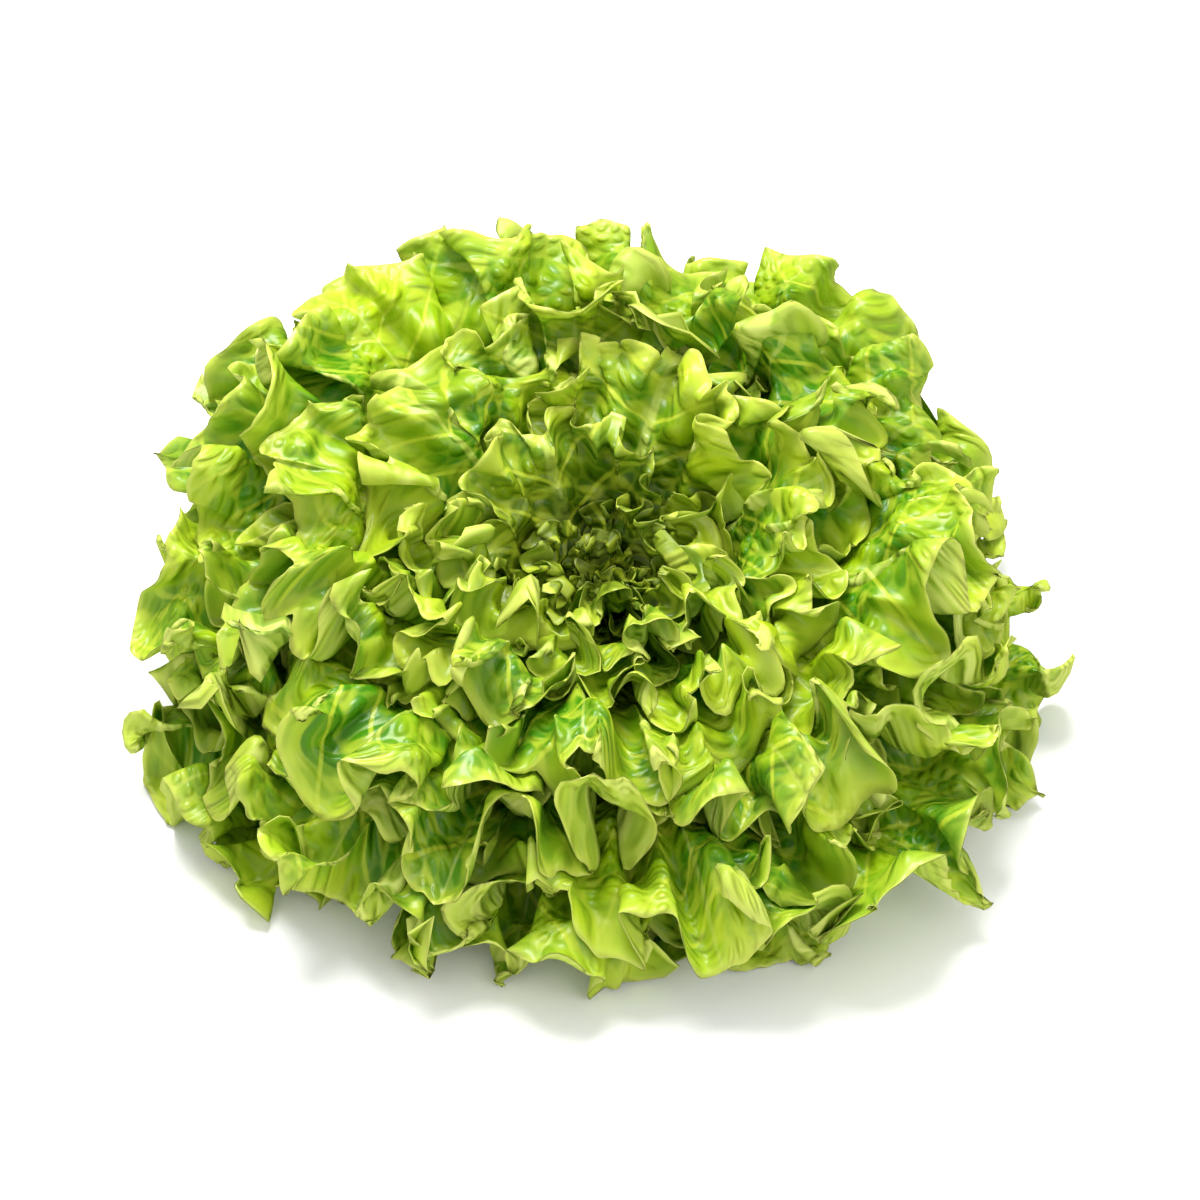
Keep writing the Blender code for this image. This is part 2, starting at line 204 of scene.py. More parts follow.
# World to growth frame: down by the stem's centre, then the opposite turn
def toGrowth(points):
    lean = math.radians(head["lean"])
    turn = np.array([[1, 0, 0], [0, math.cos(lean), -math.sin(lean)], [0, math.sin(lean), math.cos(lean)]])
    return (points - [0, 0, head["stemCentre"]]) @ turn


# Distance, azimuth and elevation to x, y and z: x and y share distance times the cosine of the elevation
def fromPolar(distance, azimuth, elevation):
    level = distance * np.cos(elevation)
    return np.stack([level * np.cos(azimuth), level * np.sin(azimuth), distance * np.sin(elevation)], -1)


# The way back: the distance is the root of the squares' sum, and both angles are read from the ratios
def toPolar(points):
    x, y, z = np.moveaxis(points, -1, 0)
    distance = np.sqrt(x * x + y * y + z * z)
    return distance, np.arctan2(y, x), np.arcsin(z / distance)


# A smooth curve through values at knots that overshoots none: cubic pieces, level at crests and valleys
def throughKnots(knots, values, places):
    step = np.diff(knots)
    slope = (np.diff(values, axis=0).T / step).T
    before, after = slope[:-1], slope[1:]
    with np.errstate(divide="ignore", invalid="ignore"):
        inner = np.where(before * after > 0, 2 * before * after / (before + after), 0)
    tangent = np.concatenate([slope[:1], inner, slope[-1:]])
    piece = np.clip(np.searchsorted(knots, places, side="right") - 1, 0, len(step) - 1)
    width = step[piece].reshape((-1,) + (1,) * (values.ndim - 1))
    share = ((places - knots[piece]) / step[piece]).reshape(width.shape)
    low, high = values[piece], values[piece + 1]
    return (
        low * (1 + 2 * share) * (1 - share) ** 2
        + high * share**2 * (3 - 2 * share)
        + width * (tangent[piece] * share * (1 - share) ** 2 - tangent[piece + 1] * share**2 * (1 - share))
    )


# 0 below low, 1 above high, and 3 s squared less 2 s cubed between them, with s the share of the way
def softStep(low, high, value):
    share = np.clip((value - low) / (high - low), 0, 1)
    return share * share * (3 - 2 * share)


# A sum of sines along one direction: amount times sin(2 pi cycles place + phase), of about unit height
def ripple(draw, cycles, places, terms=3):
    rates = draw.uniform(*cycles, terms)
    phases = draw.uniform(0, 2 * math.pi, terms)
    waves = np.sin(2 * math.pi * np.multiply.outer(places, rates) + phases)
    return waves @ draw.uniform(0.4, 0.8, terms)


# A ripple that keeps its numbers, because it draws them from a seed of its own each time it is worked out
def keptRipple(draw, cycles, terms=3):
    seed = int(draw.integers(1 << 30))
    return lambda places: ripple(np.random.default_rng(seed), cycles, places, terms)


# The net of veins at a point of the flattened leaf: three plane waves at 120 degrees, after bending the plane.
# About 3 in the middle of a cell and -1 or less on the net
def veinNet(x, y, leafShift, cell):
    across = x / cell + leafShift * network["sidewaysOfLeaf"]
    along = y / cell
    bentAcross = across + sum(a * np.sin(k * across + m * along + p) for a, k, m, p in network["bendsAcross"])
    bentAlong = along + sum(a * np.sin(k * across + m * along + p) for a, k, m, p in network["bendsAlong"])
    third = math.sqrt(3) / 2 * bentAlong
    return (
        np.cos(2 * math.pi * bentAcross)
        + np.cos(2 * math.pi * (third - bentAcross / 2))
        + np.cos(2 * math.pi * (third + bentAcross / 2))
    )


# One leaf's own numbers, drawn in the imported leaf's order, where two draws have no use here. Its turn is the
# first leaf's plus its number times the golden angle, give or take a few degrees
def drawnLeaf(number):
    draw = np.random.default_rng([head["seed"], number])
    columns, fullness = head["columns"], head["fullness"]
    stage = number / (head["leaves"] - 1)
    around = draw.uniform(-head["turnSpread"], head["turnSpread"])
    turn = head["firstLeaf"] + number * head["goldenAngle"] + around
    shift = draw.uniform(-head["unevenness"], head["unevenness"], columns + 1)
    shift[[0, -1]] = 0
    lobes = 1 - head["lobeDepth"] * draw.uniform(0, 1, columns + 1)
    waves = draw.uniform(*head["waves"], columns + 1) * (-1.0) ** (np.arange(columns + 1) + draw.integers(2))
    draw.uniform(size=2)
    directions = np.linspace(0, 360, len(fullness) + 1)
    size = draw.uniform(*head["sizes"]) * np.interp(turn % 360, directions, (*fullness, fullness[0]))
    return {
        "name": f"leaf_{number + 1:02d}",
        "stage": stage,
        "turn": math.radians(turn),
        "knots": 2 * (np.arange(columns + 1) + shift) / columns - 1,
        "lobes": lobes,
        "waves": waves,
        "length": atStage("reach", stage) * size - head["stemRadius"] - head["gapToStem"],
        "draw": np.random.default_rng([head["seed"], fine["seedStart"] + number]),
    }


# Where blade points lie in the plan: a fan of rays from the foot, wrapped round a cone of the leaf's own
# steepness. across runs from -1 to 1 over the fan and along from the foot to the margin
def spread(leaf, across, along, lobes):
    foot = head["stemRadius"] + head["gapToStem"]
    stage = leaf["stage"]
    ray = math.radians(head["fanHalf"]) * across
    reach = leaf["length"] * (1 - head["sideShortening"] * across**2) * along * (1 + (lobes - 1) * along)
    side = atStage("footHalfWidth", stage) * across * (1 - along) + reach * np.sin(ray)
    forward = foot + reach * np.cos(ray)
    distance = np.hypot(side, forward)
    low, high = atStage("footElevation", stage), atStage("tipElevation", stage)
    share = np.clip((distance - foot) / leaf["length"], 0, None)
    cone = np.radians(low + (high - low) * share ** head["profilePower"])
    return side, forward, distance, leaf["turn"] + np.arctan2(side, forward) / np.cos(cone)


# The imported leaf's elevation at its own corners: the mean of the two sides of its blade at each of them
def packedElevation(leaf):
    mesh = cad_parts[leaf["name"]].data
    places = np.empty(len(mesh.vertices) * 3, np.float32)
    mesh.vertices.foreach_get("co", places)
    points = np.unique(np.round(places.reshape(-1, 3).astype(float), 6), axis=0)
    distance, azimuth, elevation = toPolar(toGrowth(points))
    plan = distance[:, None] * np.stack([np.cos(azimuth), np.sin(azimuth)], -1)
    across, along = np.meshgrid(leaf["knots"], head["rows"], indexing="ij")
    lobes = np.broadcast_to(leaf["lobes"][:, None], across.shape)
    _, _, reach, turn = spread(leaf, across, along, lobes)
    corners = reach[..., None] * np.stack([np.cos(turn), np.sin(turn)], -1)
    apart = np.linalg.norm(corners[:, :, None, :] - plan, axis=-1)
    nearest = np.argsort(apart, axis=-1)[..., :2]
    read = elevation[nearest].mean(-1)
    read[:, 0] = read[:, 0].mean()
    return read


# The fine leaf's own numbers. A fold is a centre and a width across the leaf and an angle, downward where
# positive. A swell is a plane wave: its two wave numbers, its phase and its height
def addFineNumbers(leaf):
    draw = leaf["draw"]
    leaf["meander"] = draw.uniform(*fine["meander"])
    leaf["frill"] = keptRipple(draw, fine["frillCycles"])
    leaf["curl"] = keptRipple(draw, fine["curlCycles"])
    toothCycles = np.array(fine["toothCycles"]) * np.sqrt(leaf["length"] / fine["toothedLength"])
    leaf["teeth"] = keptRipple(draw, toothCycles, fine["toothTerms"])
    leaf["scallops"] = keptRipple(draw, fine["scallopCycles"])
    leaf["bend"] = keptRipple(draw, fine["ridgeCycles"])
    count, small = fine["swells"], min(1, leaf["length"] / fine["swollenLength"])
    lengths = draw.uniform(*fine["swellLength"], count) * small
    headings = draw.uniform(0, 2 * math.pi, count)
    rates = 2 * math.pi / lengths
    phases = draw.uniform(0, 2 * math.pi, count)
    heights = draw.uniform(*fine["swellShares"], count) * fine["swellHeight"] * small
    leaf["swells"] = list(zip(rates * np.cos(headings), rates * np.sin(headings), phases, heights))
    leaf["shift"] = float(np.float32(draw.uniform(0, 1)))
    leaf["blistered"] = draw.uniform(*blisters["leafShares"])
    inward = fine["rollInward"] + fine["rollInwardBehind"] * math.sin(leaf["turn"])
    rolls = draw.integers(*fine["rolls"])
    angles = np.radians(draw.uniform(*fine["rollAngle"], rolls))
    angles = angles * np.where(draw.random(rolls) < inward, -fine["inwardShare"], 1)
    angles = angles * np.interp(leaf["stage"], fine["youngRollStages"], fine["youngRollShares"])
    centres = draw.uniform(-fine["rollCentre"], fine["rollCentre"], rolls)
    leaf["rolls"] = list(zip(centres, draw.uniform(*fine["rollWidth"], rolls), angles))
    leaf["strip"] = min(draw.uniform(*fine["rollStrip"]), leaf["length"] * fine["rollStripMost"])


# The fine blade before folding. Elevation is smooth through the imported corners, plus swells over the blade
# and frills that grow towards the margin. Crests of the margin's waves are spread wider than their flanks
def bladeSurface(leaf, across, along):
    knots = leaf["knots"]
    ruffle = atStage("ruffle", leaf["stage"])
    place = (across + 1) / 2
    u, v = across[:, None], along[None, :]
    lobes = throughKnots(knots, leaf["lobes"], across)
    waves = throughKnots(knots, leaf["waves"], across)
    heights = throughKnots(knots, np.abs(leaf["waves"]), across)
    flank = np.gradient(waves, across) / heights * (2 / head["columns"]) / math.pi * 2
    waveLength = 4 / head["columns"]
    slip = -leaf["meander"] * waveLength / (2 * math.pi) * (waves / heights * flank)[:, None]
    slip = slip * softStep(fine["waveFrom"], 1, v)

    tooth = leaf["teeth"](place)[:, None] * softStep(fine["toothFrom"], 1, v) * fine["toothDepth"]
    scallop = leaf["scallops"](place)[:, None] * softStep(fine["scallopFrom"], 1, v) * fine["scallopDepth"]
    corner = np.clip((np.abs(u) - fine["cornerFrom"]) / (1 - fine["cornerFrom"]), 0, 1)
    rounding = 1 - fine["cornerCut"] * (1 - np.sqrt(1 - fine["cornerRound"] * corner**2))
    outline = (lobes[:, None] + (tooth + scallop)) * rounding
    side, forward, distance, azimuth = spread(leaf, np.clip(u + slip, -1, 1), v, outline)

    rows = throughKnots(np.array(head["rows"]), leaf["elevation"].T, along)
    bend = fine["ridgeBend"] * leaf["bend"](place)[:, None] * 4 * v * (1 - v)
    bent = np.clip(u + bend * (1 - u**2), -1, 1)
    elevation = np.stack([throughKnots(knots, row, bent[:, n]) for n, row in enumerate(rows)], 1)
    bentWaves = throughKnots(knots, leaf["waves"], bent.ravel()).reshape(bent.shape)
    frill = leaf["frill"](place)[:, None] * fineAtStage("frillShare", leaf["stage"])
    frill = frill * softStep(fine["frillFrom"], 1, v) ** fine["frillPower"]
    frill = frill + bentWaves * fine["waveShare"] * softStep(fine["waveFrom"], 1, v)
    curl = leaf["curl"](place)[:, None] * fine["curlShare"] * softStep(fine["curlFrom"], 1, v)
    swell = sum(np.sin(side * a + forward * b + phase) * height for a, b, phase, height in leaf["swells"])
    swell = swell * softStep(*fine["swellRise"], v)
    return side, forward, distance, azimuth, elevation + (ruffle * (frill + curl) + swell) / distance


# Columns set so that the waved margin is cut into nearly even lengths, and lines crowded towards the margin
def gridOf(leaf):
    wide, lines = (int(round(fineAtStage(name, leaf["stage"]))) for name in ("wideColumns", "lines"))
    columns = wide * fine["split"]
    dense = np.linspace(-1, 1, fine["marginSamples"])
    points = fromPolar(*bladeSurface(leaf, dense, np.array([fine["marginLine"]]))[2:])[:, 0]
    run = np.concatenate([[0], np.cumsum(np.linalg.norm(np.diff(points, axis=0), axis=1))])
    even = fine["evenSpacing"] * run / run[-1] + (1 - fine["evenSpacing"]) * (dense + 1) / 2
    across = np.interp(np.linspace(0, 1, columns + 1), even, dense)
    lineShares, lineAlong = np.array(fine["lineShares"]), np.array(fine["lineAlong"])
    return across, throughKnots(lineShares, lineAlong, np.linspace(0, 1, lines + 1))


# Vectors over their own lengths
def unit(vectors):
    return vectors / np.maximum(np.linalg.norm(vectors, axis=-1, keepdims=True), 1e-12)


# A grid's normals: the cross product of its slopes along both directions
def normals(points):
    return unit(np.cross(np.gradient(points, axis=0), np.gradient(points, axis=1)))


# Folds margins: each step from line to line beyond the fold is turned about the margin's own direction by an
# angle that grows evenly to the edge, so the strip becomes an arc. Angles are sums of bells across the leaf
def foldMargins(leaf, across, along, points):
    angle = sum(a * np.exp(-(((across - centre) / width) ** 2)) for centre, width, a in leaf["rolls"])
    angle = angle * (1 - softStep(fine["cornerFrom"], 1, np.abs(across)))
    reach = leaf["length"] * (1 - head["sideShortening"] * across**2) * fine["meanLobe"]
    start = 1 - leaf["strip"] / reach
    ramp = np.clip((along[None, :] - start[:, None]) / (1 - start[:, None]), 0, 1)
    turn = (angle[:, None] * ramp)[:, 1:, None]
    axis = unit(np.gradient(points, axis=0))[:, 1:]
    step = np.diff(points, axis=1)
    level = (axis * step).sum(-1, keepdims=True)
    turned = step * np.cos(turn) + np.cross(axis, step) * np.sin(turn) + axis * level * (1 - np.cos(turn))
    return np.concatenate([points[:, :1], points[:, :1] + np.cumsum(turned, axis=1)], axis=1)


# One leaf's folded middle surface as distances, azimuths and elevations ("lift"), with its place in the plane
def growLeaf(number):
    leaf = drawnLeaf(number)
    addFineNumbers(leaf)
    leaf["elevation"] = packedElevation(leaf)
    across, along = gridOf(leaf)
    side, forward, distance, azimuth, elevation = bladeSurface(leaf, across, along)
    points = foldMargins(leaf, across, along, fromPolar(distance, azimuth, elevation))
    leaf.update(across=across, along=along, side=side, forward=forward)
    leaf["distance"], leaf["azimuth"], leaf["lift"] = toPolar(points)
    return leaf


# Values halfway, a third and so on between the lines of a grid
def between(values, times):
    for axis in (0, 1):
        count = values.shape[axis] - 1
        place = np.arange(count * times + 1) / times
        low = np.minimum(place.astype(int), count - 1)
        share = (place - low).reshape((-1, 1) if axis == 0 else (1, -1))
        values = np.take(values, low, axis) * (1 - share) + np.take(values, low + 1, axis) * share
    return values


# Where a leaf's points lie in the plan of the head, laid out flat: distance times cosine and sine of azimuth
def planPlaces(leaf):
    return leaf["distance"] * np.cos(leaf["azimuth"]), leaf["distance"] * np.sin(leaf["azimuth"])


# The lowest and highest elevation of every leaf over every pixel of the plan, widened by a pixel all round
def slabs(leaves):
    low = np.full((len(leaves), rasterSize * rasterSize), np.inf, np.float32)
    high = np.full((len(leaves), rasterSize * rasterSize), -np.inf, np.float32)
    for n, leaf in enumerate(leaves):
        x, y, lift = (between(v, pressing["between"]) for v in (*planPlaces(leaf), leaf["lift"]))
        column, line = (np.floor((v + pressing["halfSize"]) / pressing["pixel"]).astype(int) for v in (x, y))
        pixel = np.clip(line, 0, rasterSize - 1) * rasterSize + np.clip(column, 0, rasterSize - 1)
        np.minimum.at(low[n], pixel.ravel(), lift.ravel().astype(np.float32))
        np.maximum.at(high[n], pixel.ravel(), lift.ravel().astype(np.float32))
    low, high = low.reshape(-1, rasterSize, rasterSize), high.reshape(-1, rasterSize, rasterSize)
    for axis in (1, 2):
        first, last = (slice(None),) * axis + (slice(1, None),), (slice(None),) * axis + (slice(None, -1),)
        lowest, highest = low.copy(), high.copy()
        for a, b in ((first, last), (last, first)):
            lowest[a] = np.minimum(lowest[a], low[b])
            highest[a] = np.maximum(highest[a], high[b])
        low, high = lowest, highest
    return low, high


# How far each slab must rise so that it clears all older ones, oldest first
def riseOf(low, high, limit, gap):
    rise = np.zeros_like(low)
    top = limit.astype(np.float32)
    for n in range(len(low)):
        there = np.isfinite(low[n])
        rise[n] = np.where(there, np.clip(top + gap - low[n], 0, None), 0)
        top = np.where(there, np.maximum(top, high[n] + rise[n]), top)
    return rise


# A bell-shaped blur along both directions: shares exp(-(n / width) squared / 2) of the pixels n away
def blurred(values, width):
    reach = int(math.ceil(pressing["bellReach"] * width))
    bell = np.exp(-((np.arange(-reach, reach + 1) / width) ** 2) / 2)
    bell = (bell / bell.sum()).astype(np.float32)
    for axis in (1, 2):
        padding = [(0, 0)] * 3
        padding[axis] = (reach, reach)
        padded = np.pad(values, padding)
        count = values.shape[axis]
        values = sum(share * np.take(padded, range(n, n + count), axis) for n, share in enumerate(bell))
    return values


# The elevation at which a point of the plan lies on the surface that the head stands on
def floorElevation(distance, azimuth):
    lean = math.radians(head["lean"])
    upright, sideways = math.cos(lean), math.sin(lean) * np.sin(azimuth)
    drop = np.clip((pressing["floor"] - head["stemCentre"]) / distance, -0.99, 0.99)
    return np.arcsin(drop / np.hypot(upright, sideways)) - np.arctan2(sideways, upright)


# A plan raster read at a leaf's points: the mean of the four nearest pixels, weighted by nearness
def readAt(raster, leaf):
    column, line = ((v + pressing["halfSize"]) / pressing["pixel"] - 0.5 for v in planPlaces(leaf))
    c, r = (np.clip(v, 0, rasterSize - 2).astype(int) for v in (column, line))
    s, t = np.clip(column - c, 0, 1), np.clip(line - r, 0, 1)
    nearer = raster[r, c] * (1 - s) + raster[r, c + 1] * s
    farther = raster[r + 1, c] * (1 - s) + raster[r + 1, c + 1] * s
    return nearer * (1 - t) + farther * t


# Pressing apart: the leaves are lifted oldest first, lowered youngest first, and the mean of both, which also
# clears them, is blurred and read back at every point of every leaf. Repeated with a finer blur each time
def pressApart(leaves):
    middle = (np.arange(rasterSize) + 0.5) * pressing["pixel"] - pressing["halfSize"]
    x, y = np.meshgrid(middle, middle)
    distance, azimuth = np.maximum(np.hypot(x, y), head["stemRadius"] / 2), np.arctan2(y, x)
    floor = floorElevation(distance, azimuth)
    ceiling = np.full_like(floor, topElevation)
    gap = (pressing["gap"] / distance).astype(np.float32)
    most = pressing["mostMove"] / distance
    for width in pressing["blurs"]:
        low, high = slabs(leaves)
        up = riseOf(low, high, floor, gap)
        down = riseOf(-high[::-1], -low[::-1], -ceiling, gap)[::-1]
        move = (up - down) / 2
        move += riseOf(low + move, high + move, floor, 0 * gap)
        there = np.isfinite(low)
        move = np.clip(move, -most, most).astype(np.float32)
        weight = np.maximum(blurred(there.astype(np.float32), width), 1e-6)
        move = blurred(np.where(there, move, 0), width) / weight
        mean = np.abs(move[there]).mean() * 1000
        print(f"pressed apart with a blur of {width} pixels: {mean:.2f} mrad on average")
        for raster, leaf in zip(move, leaves):
            leaf["lift"] += readAt(raster, leaf)
            lowest = floorElevation(leaf["distance"], leaf["azimuth"])
            leaf["lift"] = np.clip(leaf["lift"], lowest, topElevation)


# The four corners of each cell of a grid of point numbers
def quadsOf(index):
    return np.stack([index[:-1, :-1], index[1:, :-1], index[1:, 1:], index[:-1, 1:]], -1).reshape(-1, 4)


# A closed shell from a middle surface: one side of it above and one below, joined round the edge. A grid that
# runs counterclockwise and outward has its normal towards the leaf's underside. Before line number splitLine
# only every split-th column is kept, so that the margin is cut finer
def shellMesh(name, points, above, below, plane, traits, material, split=1, splitLine=0):
    columns, lines = points.shape[0], points.shape[1]
    normal = normals(points)
    underside, upper = points + normal * below[..., None], points - normal * above[..., None]
    kept = np.zeros((columns, lines), bool)
    kept[::split] = True
    kept[:, splitLine:] = True
    count = int(kept.sum())
    index = np.where(kept, np.cumsum(kept).reshape(kept.shape) - 1, -1)
    wide, narrow = index[::split, :splitLine], index[:, splitLine:]
    faces = [quadsOf(wide), quadsOf(narrow)]
    foot = wide[:-1, 0] if splitLine else narrow[:-1, 0]
    edge = np.concatenate([foot, index[-1, :-1], index[:0:-1, -1], index[0, :0:-1]])
    if splitLine:
        near, far = wide[:, -1], narrow[:, 0]
        fan = (far[n::split][: len(near) - 1] for n in range(split, -1, -1))
        faces.append(np.stack([near[:-1], near[1:], *fan], -1))
    following = np.roll(edge, -1)
    rim = np.stack([edge, edge + count, following + count, following], -1)
    faces = faces + [face[:, ::-1] + count for face in faces] + [rim]
    places = np.concatenate([underside[kept], upper[kept]])
    sides = np.repeat([1.0, 0.0], count)
    margin, shift = traits
    colours = np.stack([np.tile(margin[kept], 2), sides, np.full(2 * count, shift), np.ones(2 * count)], 1)
    return meshOf(name, places, faces, np.tile(plane[kept], (2, 1)), colours, material)


# A mesh object from arrays of faces, each with its own number of corners to a face. plane is the UV map, and
# colours hold nearness to the margin, 1 on the underside, and the leaf's own shift
def meshOf(name, places, faces, plane, colours, material):
    corners = np.concatenate([face.ravel() for face in faces])
    sizes = np.concatenate([np.full(len(face), face.shape[1]) for face in faces])
    mesh = bpy.data.meshes.new(name)
    mesh.vertices.add(len(places))
    mesh.vertices.foreach_set("co", places.astype(np.float32).ravel())
    mesh.loops.add(len(corners))
    mesh.loops.foreach_set("vertex_index", corners.astype(np.int32))
    mesh.polygons.add(len(sizes))
    mesh.polygons.foreach_set("loop_start", (np.cumsum(sizes) - sizes).astype(np.int32))
    mesh.polygons.foreach_set("use_smooth", np.ones(len(sizes), bool))
    mesh.update(calc_edges=True)
    layer = mesh.uv_layers.new(name="leafPlane")
    layer.data.foreach_set("uv", plane[corners].astype(np.float32).ravel())
    traits = mesh.color_attributes.new("traits", "FLOAT_COLOR", "POINT")
    traits.data.foreach_set("color", colours.astype(np.float32).ravel())
    mesh.materials.append(material)
    piece = bpy.data.objects.new(name, mesh)
    bpy.context.scene.collection.objects.link(piece)
    return piece


# How far the blade bulges between veins: cells times patches, flat on the rib, fading to foot and margin
def bulgeOf(leaf, along, onRib):
    side, forward, shift = leaf["side"], leaf["forward"], leaf["shift"]
    net = veinNet(side, forward, shift, network["cell"])
    first, second = (np.sin(side * a + forward * b + shift * c) for a, b, c in blisters["patchWaves"])
    patches = 0.5 + 0.5 * first * second
    least = blisters["patchLeast"]
    bulge = softStep(*blisters["cellEdges"], net) * softStep(*blisters["rise"], along)
    bulge = bulge * (1 - blisters["fadeShare"] * softStep(*blisters["fade"], along))
    bulge = bulge * (1 - rib["flattening"] * onRib) * (least + (1 - least) * patches)
    return bulge * leaf["blistered"] * min(1, leaf["length"] / blisters["fullLength"])


# The leaf's shell: blisters bulge between the veins on the upper side, and the rib, a bell across the leaf,
# thickens towards the foot
def leafPiece(leaf, material):
    side, forward, along = leaf["side"], leaf["forward"], leaf["along"][None, :]
    points = fromPolar(leaf["distance"], leaf["azimuth"], leaf["lift"])
    onRib = np.exp(-((side / (rib["width"] + rib["footWidth"] * (1 - along))) ** 2))
    bulge = bulgeOf(leaf, along, onRib)
    points = points - normals(points) * (blisters["height"] * (bulge - blisters["level"]))[..., None]
    toMargin = (1 - along) * np.ones_like(side)
    blade = fine["rim"] + (fine["blade"] - fine["rim"]) * softStep(0.0, fine["rimStrip"], toMargin)
    thick = atStage("ribThickness", leaf["stage"]) * onRib * (1 - along) ** rib["power"]
    footing = 1 - softStep(0.0, rib["footing"], along)
    above = blade / 2 + rib["above"] * thick + rib["aboveFoot"] * footing * thick
    below = blade / 2 + rib["below"] * thick
    margin = np.exp(-toMargin * leaf["length"] / fine["marginBand"])
    plane = np.stack([side, forward], -1) / planeUnit
    name = leaf["name"].replace("leaf_", "leafBlade")
    splitLine = int(round(fine["splitFrom"] * (points.shape[1] - 1)))
    traits = (margin, leaf["shift"])
    return shellMesh(name, toWorld(points), above, below, plane, traits, material, fine["split"], splitLine)


# Wraps a socket, so that sums on wires add Math nodes
class Wire:
    def __init__(self, tree, socket=None):
        self.tree, self.socket = tree, socket

    # A new node: its settings first, then its sockets' values or links. Gives one of its outputs
    def add(self, kind, settings=None, sockets=None, output=0):
        node = self.tree.nodes.new(kind)
        for name, value in (settings or {}).items():
            setattr(node, name, value)
        for name, value in (sockets or {}).items():
            if isinstance(value, Wire):
                self.tree.links.new(value.socket, node.inputs[name])
            else:
                node.inputs[name].default_value = value
        return Wire(self.tree, node.outputs[output])

    # Every output of a new node that takes this wire apart
    def parts(self, kind):
        return [Wire(self.tree, output) for output in self.add(kind, sockets={0: self}).socket.node.outputs]

    # Links this shader to a new material output
    def show(self):
        self.tree.links.new(self.socket, self.tree.nodes.new("ShaderNodeOutputMaterial").inputs["Surface"])

    def maths(self, operation, *values):
        return self.add("ShaderNodeMath", {"operation": operation}, dict(enumerate(values)))

    def __add__(self, other):
        return self.maths("ADD", self, other)

    __radd__ = __add__

    def __sub__(self, other):
        return self.maths("SUBTRACT", self, other)

    def __rsub__(self, other):
        return self.maths("SUBTRACT", other, self)

    def __mul__(self, other):
        return self.maths("MULTIPLY", self, other)

    __rmul__ = __mul__

    def __truediv__(self, other):
        return self.maths("DIVIDE", self, other)

    def __pow__(self, other):
        return self.maths("POWER", self, other)

    def sine(self):
        return self.maths("SINE", self)

    def cosine(self):
        return self.maths("COSINE", self)

    def size(self):
        return self.maths("ABSOLUTE", self)

    # softStep as a node
    def step(self, low, high):
        ends = {"Value": self, "From Min": low, "From Max": high}
        return self.add("ShaderNodeMapRange", {"interpolation_type": "SMOOTHSTEP"}, ends)

    # The first colour where this wire is 0, the second where it is 1. A Mix node takes colours at sockets 6
    # and 7 and gives them at output 2
    def colours(self, first, second):
        return self.add("ShaderNodeMix", {"data_type": "RGBA"}, {0: self, 6: first, 7: second}, 2)


# A new material without nodes, and a wire to start its nodes from
def emptyMaterial(name):
    material = bpy.data.materials.new(name)
    material.use_nodes = True
    material.node_tree.nodes.clear()
    return material, Wire(material.node_tree)


# A noise over the head. look is its scale, its detail and its roughness
def noise(near, look):
    sockets = {"Vector": near, **dict(zip(("Scale", "Detail", "Roughness"), look))}
    return near.add("ShaderNodeTexNoise", sockets=sockets)


# The leaf's plane in cells, bent as in veinNet: a bend adds amount times sin(k across + m along + phase)
def bentWires(across, along):
    def bent(bends, base):
        for amount, k, m, phase in bends:
            base = base + (across * k + along * m + phase).sine() * amount
        return base

    return bent(network["bendsAcross"], across), bent(network["bendsAlong"], along)


# The same net of veins as veinNet, as nodes: the sum of three plane waves at 120 degrees
def netWires(bentAcross, bentAlong):
    turn, third = bentAcross * (2 * math.pi), bentAlong * (math.pi * math.sqrt(3))
    return turn.cosine() + (third - turn * 0.5).cosine() + (third + turn * 0.5).cosine()


# Deep, bright and margin colour of the leaves by slot, and the colours that all leaves share, in linear light
leafLooks = {
    "outer_leaf": ((0.052, 0.250, 0.0003), (0.46, 0.63, 0.0008), (0.66, 0.72, 0.130)),
    "middle_leaf": ((0.055, 0.260, 0.0003), (0.49, 0.65, 0.0008), (0.69, 0.74, 0.130)),
    "inner_leaf": ((0.060, 0.245, 0.0003), (0.48, 0.63, 0.0008), (0.69, 0.74, 0.120)),
    # The heart leaves' colours are a dark olive: painted shade of the hollow at the heart, not their own paler
    # green
    "heart_leaf": ((0.028, 0.062, 0.001), (0.085, 0.135, 0.002), (0.22, 0.29, 0.006)),
}
sharedLooks = {
    "vein": (0.60, 0.70, 0.040),
    "rib": (0.60, 0.70, 0.12),
    "under": (0.58, 0.69, 0.070),
    "underVein": (0.80, 0.86, 0.24),
    # A dark olive near the heart: young tissue's colour with painted shade of the hollow there
    "oliveAndShade": (0.070, 0.125, 0.001),
    "glow": (0.40, 0.72, 0.0003),
}
